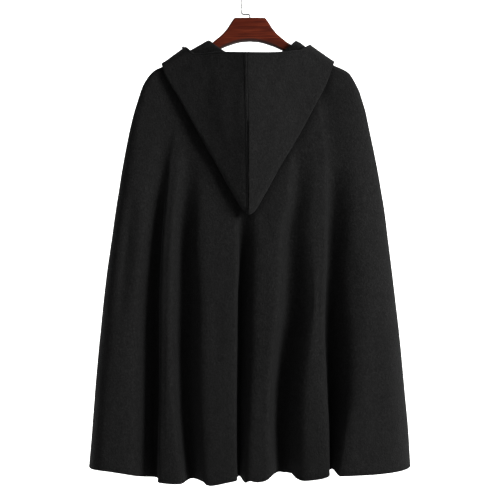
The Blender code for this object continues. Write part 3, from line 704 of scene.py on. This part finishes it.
def panel_grid(valleys, hem, side, start, end):
    """Fine grid of a panel's outside, without creases, and the heights of its rows over the hem."""
    lines = []
    heights = fine_rows()
    for left in heights:
        row = Row(left, *(float(read(ROWS, "left", name, left)) for name in ROWS[0]._fields[1:]))
        coarse = panel_row(valleys, row, start, end)
        x, fold = refined(coarse, DENSE * (len(coarse) - 1) + 1).T
        share = x / np.where(x < 0, half_width(-1, row.left), half_width(1, row.right))
        sag = row.back_sag if side < 0 else row.front_sag
        z = row.left + (row.right - row.left) * (share + 1) / 2 - sag * (1 - share**2)
        middle = (row.left + row.right) / 2
        low = np.clip((HEM_FOLLOWED_BELOW - middle) / (HEM_FOLLOWED_BELOW - HEM_LEVEL), 0, 1) ** HEM_BEND
        z += low * (read(hem, "place", "height", x) - HEM_LEVEL)
        lines.append(np.stack([x, fold, z], -1))
    lines = np.array(lines)
    x, fold, z = np.moveaxis(lines, -1, 0)
    depth, _ = body(x, z)
    return np.stack([x, side * np.maximum(depth - fold, SEAM), z], -1), heights - ROWS[-1].left


Row = namedtuple("Row", ROWS[0]._fields)

# Model columns that a seam's close columns replace, and columns of the blend between the two.
EDGE_BLEND = 5
BLEND_COLUMNS = 9

# Soft lumps of the free cloth: how high they stand, their width and their height along the cloth. The
# broad ones grow from BROAD_HIGH by BROAD_GROWTH down to the hem, and all fade close to a seam.
BROAD_HIGH, BROAD_GROWTH, BROAD_SIZE = 0.6, 1.6, (62, 210)
SMALL_HIGH, SMALL_SIZE = 0.45, (24, 60)
FREE_BELOW, GROWTH_BELOW = (-215, -330), (-400, -1040)
SEAM_FADE = 40
SLIT_REACH = 30.0


def panel_columns(dense, start, end):
    """A panel's grid with close columns along its seams."""
    last = dense.shape[1] - 1
    count = last // DENSE
    first_inner = EDGE_BLEND if start else 1
    last_inner = count - (EDGE_BLEND if end else 1)
    inner = np.arange(first_inner * 2, last_inner * 2 + 1) * DENSE / 2
    return np.array([resample(line, SEAM_COLUMNS, SEAM_COLUMNS, inner, BLEND_COLUMNS) for line in dense])


def open_slit(grid, way):
    """Moves a front's middle edge off the centre, where the slit is open."""
    share = np.clip((grid[..., 2] - SLIT_END) / (SLIT_OPEN - SLIT_END), 0, 1)
    near_edge = np.clip(1 - np.abs(grid[..., 0]) / SLIT_REACH, 0, 1)
    grid[..., 0] += way * (SEAM + share * (SLIT_HALF - SEAM)) * near_edge


def add_panel(name, valleys, hem, creases, side, start, end, limits, seed):
    """One panel of the body. side is -1 for the back and 1 for a front."""
    dense, over_hem = panel_grid(valleys, hem, side, start, end)
    if start == 0 or end == 0:
        open_slit(dense, 1 if start == 0 else -1)
    grid = panel_columns(dense, start, end)
    normals = surface_normals(grid, (0, side, 0))
    from_first, from_last = arcs(grid), arcs(grid[:, ::-1])[:, ::-1]
    x, z = grid[..., 0], grid[..., 2]
    free = smooth_step(*FREE_BELOW, z)
    rise = free * crease_rise(creases, x, z)
    high = BROAD_HIGH + BROAD_GROWTH * smooth_step(*GROWTH_BELOW, z)
    rise += free * high * lumps(x, z, *BROAD_SIZE, seed)
    rise += free * SMALL_HIGH * lumps(x, z, *SMALL_SIZE, seed + 1)
    rise *= smooth_step(0, SEAM_FADE, np.minimum(from_first, from_last))
    rise += sewn_edge(from_first) + sewn_edge(from_last)
    rise += turned_edge(np.maximum(over_hem, 0))[:, None]
    outer = grid + normals * rise[..., None]
    hold_back(outer, limits)
    return add_shell(name, outer, surface_normals(outer, (0, side, 0)), limits), outer


# The hood's sections round the neck: three stretches of steps, and the first one kept of each. Then the
# share of a model's point between points of a section, and the columns kept, with those left at a side.
HOOD_STEPS = ((0, (0, 0.9, 110)), (1, (0.9, 1.1, 70)), (1, (1.1, 2.0, 81)))
HOOD_INNER_STEP = 0.3
HOOD_COLUMNS, HOOD_SIDE_COLUMNS = 120, 8
CLEAR_OF_EDGE = 4.0
OUTER_FROM, OUTER_STEPS = 15, 6
HOOD_SEAM_COLUMNS = (
    0.0, 0.25, 0.6, 1.1, 1.8, 3.2, 5.0, 6.8, 7.7, 8.1, 8.3, 8.5, 8.7, 8.9, 9.3, 10.2,
)

# The lifts over which the hood's outside begins, where its lumps fade, and each lump's height and size.
HOOD_OUTSIDE = (9, 17)
RIM_FADE, FRONT_FADE = 25, 15
HOOD_LUMPS = ((0.9, 55, 90), (0.35, 20, 30))
HOOD_TOWARD = 0.4

# The seam's pressed band: its groove, how far in it is stitched, and its rise, start and fall.
BAND_GROOVE = 1.3
BAND_STITCH = 8.5
BAND_RISE, BAND_START, BAND_FALL = 0.5, 2, 1.5


def hood_grid(rows, side):
    """Fine grid of half the hood: rows from neck to rim, columns from back seam to front."""
    steps = np.concatenate([np.linspace(*stretch)[first:] for first, stretch in HOOD_STEPS])
    lines = []
    for step in steps:
        coarse = np.array(hood_section(rows, side, float(step)), float)
        line = refined(coarse[:, :3], DENSE * (len(coarse) - 1) + 1)
        lines.append(np.concatenate([line, np.full((len(line), 1), coarse[0, 3])], -1))
    x, z, lift, front = np.moveaxis(np.array(lines), -1, 0)
    depth, way = body(x, z)
    grid = np.stack([x, -depth, z], -1) + way * lift[..., None]
    grid[..., 1] *= np.where(front > 0, -1, 1)
    points = np.arange(0, (OUTER_FROM + OUTER_STEPS) * DENSE, DENSE * HOOD_INNER_STEP)
    edge = list(turn_distances()[::-1]) + list(EDGE_ROWS[::-1])
    held = OUTER_FROM * DENSE
    sections = np.array([resample(section, (), edge, points, BLEND_COLUMNS, held) for section in grid])
    lengthwise = np.moveaxis(sections, 0, 1)
    shares = np.linspace(0, 1, HOOD_COLUMNS) * (len(steps) - 1)
    inner = shares[HOOD_SIDE_COLUMNS:-HOOD_SIDE_COLUMNS]
    return np.array([
        resample(line, HOOD_SEAM_COLUMNS, SEAM_COLUMNS, inner, BLEND_COLUMNS) for line in lengthwise
    ])


def felled_band(distance):
    """The seam's allowance, pressed to one side and stitched down, by the distance from the seam."""
    fall = smooth_step(BAND_STITCH, BAND_STITCH + BAND_FALL, distance)
    band = BAND_RISE * smooth_step(0, BAND_START, distance) * (1 - fall)
    return ditch(distance) + groove(distance, BAND_STITCH, BAND_GROOVE) + band


def lean(points):
    """Points of the hood, moved so that its seam lies left of the middle, clear of the body."""
    x, y, z = np.moveaxis(points, -1, 0)
    lift = -y - read(BODY_DEPTH, "height", "half_depth", z)
    clear = np.clip((lift - LEAN_STARTS) / (LEAN_WHOLE - LEAN_STARTS), 0, 1)
    near_seam = np.maximum(1 - np.abs(x) / LEAN_REACH, 0) ** 2
    moved = points.copy()
    moved[..., 0] -= read(SEAM_LEAN, "height", "left", z) * near_seam * clear
    return moved


def add_hood_half(name, rows, side, seed):
    grid = hood_grid(rows, side)
    normals = surface_normals(grid, (side, 0, HOOD_TOWARD))
    from_seam, from_front = arcs(grid), arcs(grid[:, ::-1])[:, ::-1]
    over_rim = arcs(np.moveaxis(grid[::-1], 0, 1)).T[::-1]
    x, y, z = np.moveaxis(grid, -1, 0)
    lift = np.abs(y) - read(BODY_DEPTH, "height", "half_depth", z)
    outside = smooth_step(*HOOD_OUTSIDE, lift) * smooth_step(0, RIM_FADE, over_rim)
    rise = outside * crease_rise(HOOD_CREASES, x, z) * (y < 0)
    for number, (high, *size) in enumerate(HOOD_LUMPS):
        rise += outside * high * lumps(x, z, *size, seed + number)
    rise *= smooth_step(0, RIM_FADE, from_seam) * smooth_step(0, FRONT_FADE, from_front)
    rise += felled_band(from_seam) if side < 0 else ditch(from_seam)
    rise += turned_edge(over_rim) * (over_rim < 2 * STITCH_IN)
    outer = grid + normals * rise[..., None]
    outer[:, 0, 0] = side * HOOD_SEAM
    limits = [(0, side * HOOD_SEAM)]
    hold_back(outer, limits)
    half = add_shell(name, outer, surface_normals(outer, (side, 0, HOOD_TOWARD)), limits)
    leant = lean(np.array([vertex.co for vertex in half.data.vertices]) / MM)
    half.data.vertices.foreach_set("co", (leant * MM).ravel())
    half.data.update()
    return half, lean(outer)


# One stitch: its length, the gap to the next, its radius, and how far its middle stands out.
STITCH_LENGTH, STITCH_GAP, STITCH_RADIUS, STITCH_RISE = 3.0, 1.0, 0.34, 0.05
STITCH_SIDES, STITCH_REACH, STITCH_FLAT = 6, 0.6, 0.4
STITCH_RINGS = ((-0.5, 0.15), (-0.36, 0.85), (0.0, 1.0), (0.36, 0.85), (0.5, 0.15))


def stitch_line(line, normals):
    """Points and faces of a row of stitches along a line on the cloth."""
    run = arcs(line)
    count = int(run[-1] / (STITCH_LENGTH + STITCH_GAP))
    if not count:
        return np.zeros((0, 3)), []
    middles = (np.arange(count) + 0.5) * run[-1] / count

    def at(place, values):
        return np.stack([np.interp(place, run, values[:, k]) for k in range(3)], -1)

    centre = at(middles, line)
    along = unit(at(middles + STITCH_REACH, line) - at(middles - STITCH_REACH, line))
    out = at(middles, normals)
    out = unit(out - along * (out * along).sum(-1, keepdims=True))
    beside = np.cross(along, out)
    points, faces = [], []
    for end, share in STITCH_RINGS:
        for k in range(STITCH_SIDES):
            turn = 2 * math.pi * k / STITCH_SIDES
            offset = beside * math.cos(turn) + out * math.sin(turn)
            rise = STITCH_RISE if abs(end) < STITCH_FLAT else -STITCH_RADIUS
            points.append(centre + along * STITCH_LENGTH * end + offset * STITCH_RADIUS * share + out * rise)
    points = np.stack(points, 1).reshape(-1, 3)
    each = STITCH_SIDES * len(STITCH_RINGS)
    for s in range(count):
        base = s * each
        for ring in range(len(STITCH_RINGS) - 1):
            for k in range(STITCH_SIDES):
                a, b = base + ring * STITCH_SIDES + k, base + ring * STITCH_SIDES + (k + 1) % STITCH_SIDES
                faces.append((a, b, b + STITCH_SIDES, a + STITCH_SIDES))
        faces.append(tuple(base + k for k in range(STITCH_SIDES))[::-1])
        last = base + each - STITCH_SIDES
        faces.append(tuple(last + k for k in range(STITCH_SIDES)))
    return points, faces


def add_stitches(name, lines):
    """One piece of every stitch along these lines of points with their normals."""
    all_points, all_faces, base = [], [], 0
    for line, normals in lines:
        points, faces = stitch_line(line, normals)
        all_points.append(points)
        all_faces += [tuple(base + k for k in face) for face in faces]
        base += len(points)
    return add_mesh(name, np.concatenate(all_points), all_faces)


def near_hanger():
    """The wood's outline, with its bends rounded and its arms left straight."""
    half = np.array(HANGER, float)
    run = arcs(half)
    between = [np.linspace(a, b, 5)[1:-1] for a, b in zip(run, run[1:]) if b - a < STRAIGHT_FROM]
    return curve(half, run, np.unique(np.concatenate([run, *between])))


def hanger_wood():
    half = [tuple(point) for point in near_hanger()]
    ring = half + [(-out, height) for out, height in reversed(half[1:-1])]
    data = bpy.data.curves.new("hanger_outline", "CURVE")
    data.dimensions = "2D"
    data.fill_mode = "BOTH"
    data.extrude = (HANGER_HALF - HANGER_EDGE) * MM
    data.bevel_depth = HANGER_EDGE * MM
    data.offset = -HANGER_EDGE * MM
    data.bevel_resolution = BEVEL_STEPS
    spline = data.splines.new("POLY")
    spline.points.add(len(ring) - 1)
    for point, (out, height) in zip(spline.points, ring):
        point.co = (out * MM, height * MM, 0, 1)
    spline.use_cyclic_u = True
    outline = add_object("hanger_outline", data)
    outline.rotation_euler.x = math.radians(90)
    bpy.context.view_layer.update()
    mesh = bpy.data.meshes.new_from_object(outline.evaluated_get(bpy.context.evaluated_depsgraph_get()))
    mesh.transform(outline.matrix_world)
    shade(mesh, merge=0.00001)
    mesh.set_sharp_from_angle(angle=math.radians(SHARP_ANGLE))
    bpy.data.objects.remove(outline)
    return add_object("hanger_wood", mesh)


def arc(across, up, radius, start, end, count):
    """Points of an arc about this centre, between two angles in degrees."""
    turns = [math.radians(turn) for turn in np.linspace(start, end, count)]
    return [(across + radius * math.cos(turn), up + radius * math.sin(turn)) for turn in turns]


def hook_wire():
    """The wire from inside the wood over the jog and round the hook, as one smooth tube."""
    line = [(0.0, HANGER_TOP - WIRE_SUNK), (0.0, HANGER_TOP)]
    line += arc(-JOG_RADIUS, JOG_HEIGHT - JOG_RADIUS, JOG_RADIUS, 0, 90, 10)
    line += arc(JOG_RADIUS - HOOK_RADIUS, JOG_HEIGHT + JOG_RADIUS, JOG_RADIUS, 270, 180, 10)
    line += arc(0, WIRE_RADIUS - HOOK_RADIUS, HOOK_RADIUS, 180, HOOK_END, 60)
    data = bpy.data.curves.new("hook_wire", "CURVE")
    data.dimensions = "3D"
    spline = data.splines.new("POLY")
    spline.points.add(len(line) - 1)
    for point, (x, z) in zip(spline.points, line):
        point.co = (x * MM, 0, z * MM, 1)
    data.bevel_depth = WIRE_RADIUS * MM
    data.bevel_resolution = BEVEL_STEPS
    data.use_fill_caps = True
    return add_object("hook_wire", data)


class Look:
    """A material whose nodes are added one by one, with its shader's own values set by name."""

    def __init__(self, name, **values):
        self.material = bpy.data.materials.new(name)
        self.material.use_nodes = True
        self.nodes, self.links = self.material.node_tree.nodes, self.material.node_tree.links
        self.shader = self.nodes["Principled BSDF"]
        self.fill(self.shader, values)

    def fill(self, node, values):
        """Sets each named input to a value, or links it to an output of another node."""
        for name, value in values.items():
            socket = node.inputs[name.replace("_", " ")]
            if isinstance(value, bpy.types.NodeSocket):
                self.links.new(value, socket)
            else:
                socket.default_value = value

    def add(self, kind, **values):
        node = self.nodes.new("ShaderNode" + kind)
        self.fill(node, values)
        return node

    def place(self):
        """Object coordinates, in metres."""
        return self.add("TexCoord").outputs["Object"]

    def noise(self, stretch, scale, detail, roughness=0.6):
        """Noise over object coordinates that are scaled by the three numbers of stretch."""
        place = self.add("Mapping", Vector=self.place(), Scale=stretch).outputs["Vector"]
        texture = self.add("TexNoise", Vector=place, Scale=scale, Detail=detail, Roughness=roughness)
        return texture.outputs["Fac"]

    def ramp(self, factor, *stops):
        """A colour ramp with stops of place and colour, where one number stands for a grey."""
        node = self.add("ValToRGB", Fac=factor)
        while len(node.color_ramp.elements) < len(stops):
            node.color_ramp.elements.new(0.5)
        for element, (place, colour) in zip(node.color_ramp.elements, stops):
            element.position = place
            element.color = (*colour, 1) if isinstance(colour, tuple) else (colour, colour, colour, 1)
        return node.outputs["Color"]

    def mixed(self, first, second, factor=1.0, blend="MULTIPLY"):
        node = self.add("Mix")
        node.data_type = "RGBA"
        node.blend_type = blend
        self.fill(node, {"Factor": factor, "A": first, "B": second})
        return node.outputs["Result"]

    def bump(self, height, strength, distance, **values):
        node = self.add("Bump", Height=height, Strength=strength, Distance=distance, **values)
        return node.outputs["Normal"]

    def share(self, value, **ends):
        """How far a value lies between two ends, which may also be given new values."""
        return self.add("MapRange", Value=value, **ends).outputs["Result"]


# Painted shade: the wool's colour is darkened where it lies deep inside a fold, as it looks in the photo.
# Each stop gives a share of its colour, by how open it lies within FOLD_REACH metres.
FOLD_REACH = 0.10
PAINTED_FOLD_SHADE_TONES = ((0.45, 0.52), (0.78, 0.66), (0.97, 1.0))


def wool_material():
    """Brushed black wool: flecked with grey hairs, matt, with a short nap, and painted shade in its folds."""
    look = Look(
        "black_wool", Roughness=0.95, Sheen_Weight=0.03, Sheen_Roughness=0.5, Specular_IOR_Level=0.05,
        Sheen_Tint=(0.62, 0.63, 0.66, 1),
    )
    hairs = look.noise((1, 1, 0.8), scale=330, detail=5, roughness=0.75)
    flecks = look.ramp(hairs, (0.34, 0.0044), (0.50, 0.0075), (0.66, 0.0135))
    patches = look.ramp(look.noise((1, 1, 0.6), scale=90, detail=3), (0.30, 0.80), (0.70, 1.0))
    # Painted shade: darker colour where ambient occlusion finds the wool closed in by folds.
    sheltered = look.add("AmbientOcclusion", Distance=FOLD_REACH)
    sheltered.samples = 16
    painted_fold_shade = look.ramp(sheltered.outputs["AO"], *PAINTED_FOLD_SHADE_TONES)
    clumps = look.noise((1, 1, 0.8), scale=240, detail=4, roughness=0.7)
    felting = look.bump(clumps, strength=0.8, distance=0.0020)
    short_hairs = look.noise((1, 1, 0.5), scale=700, detail=5, roughness=0.75)
    nap = look.bump(short_hairs, strength=0.55, distance=0.0007, Normal=felting)
    look.fill(look.shader, {"Base Color": look.mixed(look.mixed(flecks, patches), painted_fold_shade), "Normal": nap})
    return look.material


def thread_material():
    """Black sewing thread, with more gloss than the wool."""
    look = Look("black_thread", Roughness=0.7, Specular_IOR_Level=0.2)
    twist = look.ramp(look.noise((1, 1, 1), scale=900, detail=2), (0.3, 0.003), (0.7, 0.007))
    look.fill(look.shader, {"Base Color": twist})
    return look.material


# Painted highlight and painted shade along the wood's lower edge, and a thin darker line along its top.
# Places are shares of EDGE_REACH up from the arch, whose height falls with the square of the way
# out, or down from the top.
EDGE_REACH = 0.012
ARCH_TOP, ARCH_BEND = -0.1182, 4.4
ARCH_HIGHLIGHT_AND_SHADE = ((0.10, (0.055, 0.042, 0.039)), (0.20, (0.028, 0.0100, 0.0080)))
ARCH_SHARES = ((0.36, 0), (0.62, 1))
TOP_TONES = ((0.12, (0.45, 0.70, 0.90)), (0.24, (1.0, 1.0, 1.0)))


def edge_shares(look):
    """How far a place lies above the arch, and how far below the top."""
    parts = look.add("SeparateXYZ", Vector=look.place())
    square = look.add("Math")
    square.operation = "MULTIPLY"
    arch = look.add("Math")
    arch.operation = "MULTIPLY_ADD"
    for number in (0, 1):
        look.links.new(parts.outputs["X"], square.inputs[number])
    look.links.new(square.outputs[0], arch.inputs[0])
    arch.inputs[1].default_value = ARCH_BEND
    look.links.new(parts.outputs["Z"], arch.inputs[2])
    top = HANGER_TOP * MM
    above = look.share(arch.outputs[0], From_Min=ARCH_TOP, From_Max=ARCH_TOP + EDGE_REACH)
    return above, look.share(parts.outputs["Z"], From_Min=top, From_Max=top - EDGE_REACH)


def mahogany_material():
    """Red-brown stained wood, its grain along the arms, under a thin satin lacquer."""
    look = Look("mahogany", Roughness=0.55, Specular_IOR_Level=0.06, Coat_Weight=0.02, Coat_Roughness=0.30)
    grain = look.noise((14, 60, 260), scale=1, detail=6, roughness=0.65)
    cloud = look.noise((10, 20, 30), scale=1, detail=3, roughness=0.5)
    lines = look.ramp(
        grain,
        (0.30, (0.034, 0.0055, 0.0026)), (0.5, (0.080, 0.0120, 0.0046)), (0.72, (0.130, 0.0240, 0.0090)),
    )
    stained = look.mixed(lines, look.ramp(cloud, (0.35, (0.72, 0.62, 0.6)), (0.65, (1.0, 1.0, 1.0))))
    above, below = edge_shares(look)
    # Painted highlight at the arch's very edge, then painted shade in a band above it.
    painted_edge_highlight_and_shade = look.ramp(above, *ARCH_HIGHLIGHT_AND_SHADE)
    shaded = look.mixed(painted_edge_highlight_and_shade, stained, look.ramp(above, *ARCH_SHARES), "MIX")
    # A thin darker line along the top edge of the wood.
    colour = look.mixed(shaded, look.ramp(below, *TOP_TONES))
    relief = look.bump(grain, strength=0.19, distance=0.0004)
    look.fill(look.shader, {"Base Color": colour, "Normal": relief})
    return look.material


def steel_material():
    look = Look("bright_steel", Metallic=1.0, Base_Color=(0.17, 0.17, 0.175, 1))
    streaks = look.noise((300, 300, 300), scale=1, detail=3)
    look.fill(look.shader, {"Roughness": look.share(streaks, To_Min=0.18, To_Max=0.36)})
    return look.material


def paper_material():
    """Pale paper that glows towards the wall, and is clear when seen from behind or below."""
    look = Look(
        "pale_paper", Roughness=0.9, Specular_IOR_Level=0.1, Base_Color=(0.93, 0.93, 0.93, 1),
        Emission_Color=(1, 1, 1, 1),
    )
    towards = look.add("SeparateXYZ", Vector=look.place()).outputs["Y"]
    glow = look.share(towards, From_Min=0.2, From_Max=0.9, To_Min=0.12, To_Max=0.95)
    look.fill(look.shader, {"Emission Strength": glow})
    seen = look.add("MixShader", Fac=look.add("NewGeometry").outputs["Backfacing"])
    look.links.new(look.add("BsdfTransparent").outputs["BSDF"], seen.inputs[1])
    look.links.new(look.shader.outputs["BSDF"], seen.inputs[2])
    look.fill(look.nodes["Material Output"], {"Surface": seen.outputs["Shader"]})
    return look.material


# Cloth.
wool = wool_material()
thread = thread_material()
HEM_STITCH_ROW = EDGE_ROWS.index(STITCH_IN) - len(EDGE_ROWS) - 3
SIDE_STITCH_COLUMN = SEAM_COLUMNS.index(STITCH_IN)
BAND_STITCH_COLUMN = HOOD_SEAM_COLUMNS.index(BAND_STITCH)


def sewn(outer, toward, rows=(), columns=()):
    """Lines of stitches along these rows and columns of a grid."""
    normals = surface_normals(outer, toward)
    lines = [(outer[row], normals[row]) for row in rows]
    return lines + [(outer[:-4, column], normals[:-4, column]) for column in columns]


def dressed(piece, stitches, node):
    """Gives a piece of cloth and its stitches their materials and their body, and hides its node."""
    piece.data.materials.append(wool)
    stitches.data.materials.append(thread)
    for each in (piece, stitches):
        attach(each, "root")
    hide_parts(node)


back, grid = add_panel("back_cloth", VALLEYS_BACK, HEM_BACK, BACK_CREASES, -1, 1, 1, [(1, -SEAM)], 3)
lines = sewn(grid, (0, -1, 0), [HEM_STITCH_ROW], [SIDE_STITCH_COLUMN, -1 - SIDE_STITCH_COLUMN])
dressed(back, add_stitches("back_stitches", lines), "back_panel")

left, grid = add_panel(
    "front_left_cloth", VALLEYS_FRONT_LEFT, HEM_FRONT, FRONT_CREASES, 1, 1, 0, [(0, -SEAM), (1, SEAM)], 13,
)
lines = sewn(grid, (0, 1, 0), [HEM_STITCH_ROW], [-1 - SIDE_STITCH_COLUMN])
dressed(left, add_stitches("front_left_stitches", lines), "front_left")

right, grid = add_panel(
    "front_right_cloth", VALLEYS_FRONT_RIGHT, HEM_FRONT, FRONT_CREASES, 1, 0, 1, [(0, SEAM), (1, SEAM)], 23,
)
lines = sewn(grid, (0, 1, 0), [HEM_STITCH_ROW], [SIDE_STITCH_COLUMN])
stitches = add_stitches("front_right_stitches", lines)
dressed(right, stitches, "front_right")

for name, rows, side, seed in (("hood_left", HOOD_LEFT, -1, 31), ("hood_right", HOOD_RIGHT, 1, 37)):
    half, grid = add_hood_half(name + "_cloth", rows, side, seed)
    columns = [BAND_STITCH_COLUMN] if side < 0 else []
    lines = sewn(grid, (side, 0, HOOD_TOWARD), [HEM_STITCH_ROW], columns)
    dressed(half, add_stitches(name + "_stitches", lines), name)

# Hanger.
for piece, material, slot, node in (
    (hanger_wood(), mahogany_material(), "hanger_wood", "hanger_body"),
    (hook_wire(), steel_material(), "hook_steel", "hanger_hook"),
):
    piece.data.materials.append(material)
    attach(piece, "root")
    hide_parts(node)

# Camera: level, square to the garment's back, where the photograph was taken from.
CAMERA_PLACE = (0.0004, -2.3, -0.5642)
VIEW_HALF = 0.535
SENSOR = 36.0
camera_data = bpy.data.cameras.new("camera")
camera_data.sensor_width = SENSOR
camera_data.lens = SENSOR / 2 * -CAMERA_PLACE[1] / VIEW_HALF
camera = add_object("camera", camera_data)
camera.location = CAMERA_PLACE
camera.rotation_euler = (math.radians(90), 0, 0)
bpy.context.scene.camera = camera


def backdrop():
    """A pale floor that curves up into a wall, all round the garment's front."""
    floor, near, wall, height, corner, half = -1.45, -9.0, 1.9, 4.5, 1.1, 7.0
    bend = arc(wall - corner, floor + corner, corner, -90, 0, 13)
    profile = [(near, floor), *bend, (wall, height)]
    points = [(x, y, z) for x in (-half, half) for y, z in profile]
    count = len(profile)
    faces = [(k, k + count, k + count + 1, k + 1) for k in range(count - 1)]
    paper = add_mesh("pale_floor", np.array(points) / MM, faces)
    paper.data.materials.append(paper_material())


def area_light(name, place, aim, size, spread, power, colour):
    data = bpy.data.lights.new(name, "AREA")
    data.shape = "DISK"
    data.size = size
    data.spread = math.radians(spread)
    data.energy = power
    data.color = colour
    light = add_object(name, data)
    light.location = place
    way = np.array(aim) - np.array(place)
    light.rotation_euler = (
        math.atan2(math.hypot(way[0], way[1]), -way[2]),
        0,
        math.atan2(way[1], way[0]) - math.pi / 2,
    )


backdrop()
area_light("key", (2.5, -1.35, 0.35), aim=(0.05, 0, -0.3), size=1.2, spread=95, power=55, colour=(1, 1, 0.99))
area_light("fill", (-1.2, -3.2, 0.4), aim=(0, 0, -0.6), size=1.6, spread=180, power=9, colour=(1, 1, 1))
world = bpy.data.worlds.new("studio")
world.use_nodes = True
background = world.node_tree.nodes["Background"].inputs
background["Color"].default_value = (1, 1, 1, 1)
background["Strength"].default_value = 0.19
bpy.context.scene.world = world
bpy.context.scene.view_settings.view_transform = "Standard"
